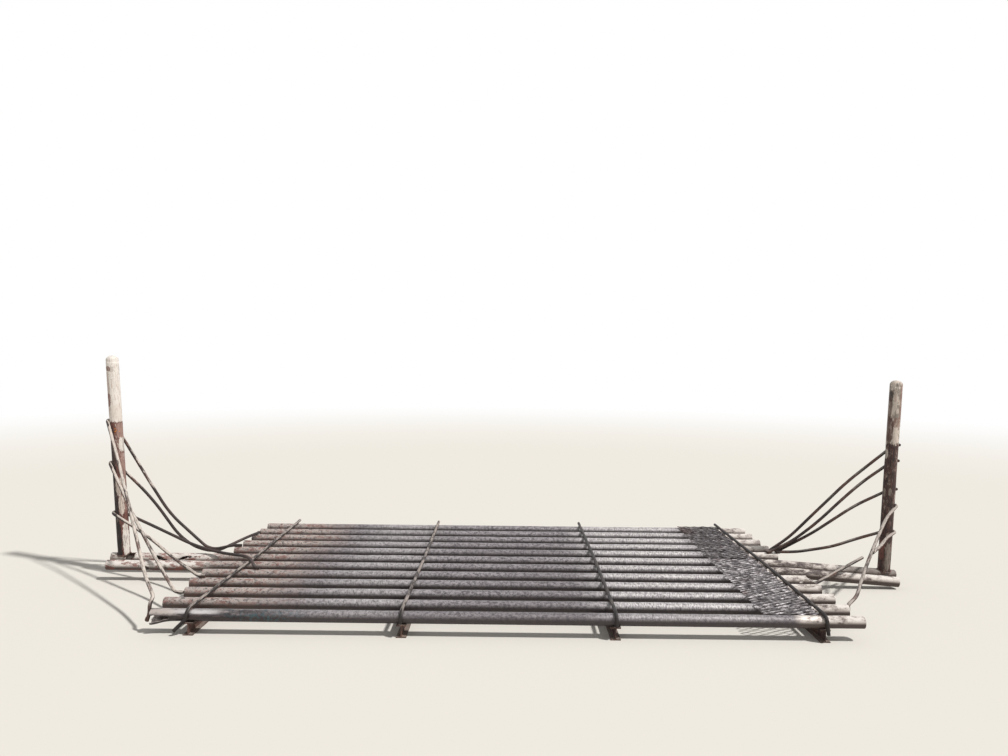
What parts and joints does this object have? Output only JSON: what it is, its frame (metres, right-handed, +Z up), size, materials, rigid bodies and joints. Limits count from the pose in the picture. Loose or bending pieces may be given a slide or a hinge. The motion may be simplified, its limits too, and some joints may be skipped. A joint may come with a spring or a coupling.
{
  "type": "cattle grid",
  "caption": "Cattle grid of round steel rails with tie rods and a mesh walkway over them, leaning end posts and bent wing rods that keep stock from walking round.",
  "frame": {"origin": "middle of the grid's outer box, on the floor that the bearers rest on", "axes": "+X to the right along the rails, +Y along the road away from the viewer, +Z up"},
  "size_m": [6.0093, 2.4386, 1.6493],
  "materials": {
    "rail_steel": "weathered tube, worn bright along the top",
    "bearer_steel": "rusted mill finish",
    "tie_rod_steel": "dark rusted bar",
    "mesh_steel": "dull grey, worn",
    "post_paint": "red and white paint, worn and rusted",
    "wing_rod_steel": "weathered bar with light rust"
  },
  "bodies": {
    "root": {"bearer_1": "bearer_steel", "bearer_2": "bearer_steel", "bearer_3": "bearer_steel", "bearer_4": "bearer_steel", "left_post": "post_paint", "left_post_cap": "post_paint", "left_wing_lower_back": "wing_rod_steel", "left_wing_lower_front": "wing_rod_steel", "left_wing_middle_back": "wing_rod_steel", "left_wing_middle_front": "wing_rod_steel", "left_wing_upper_back": "wing_rod_steel", "left_wing_upper_front": "wing_rod_steel", "rail_01": "rail_steel", "rail_02": "rail_steel", "rail_03": "rail_steel", "rail_04": "rail_steel", "rail_05": "rail_steel", "rail_06": "rail_steel", "rail_07": "rail_steel", "rail_08": "rail_steel", "rail_09": "rail_steel", "rail_10": "rail_steel", "rail_11": "rail_steel", "rail_12": "rail_steel", "right_post": "post_paint", "right_post_cap": "post_paint", "right_wing_back_1": "wing_rod_steel", "right_wing_back_2": "wing_rod_steel", "right_wing_back_3": "wing_rod_steel", "right_wing_back_4": "wing_rod_steel", "right_wing_front_1": "wing_rod_steel", "right_wing_front_2": "wing_rod_steel", "right_wing_front_3": "wing_rod_steel", "tie_rod_1": "tie_rod_steel", "tie_rod_2": "tie_rod_steel", "tie_rod_3": "tie_rod_steel", "tie_rod_4": "tie_rod_steel", "walkway_back": "mesh_steel", "walkway_front": "mesh_steel"}
  },
  "joints": []
}
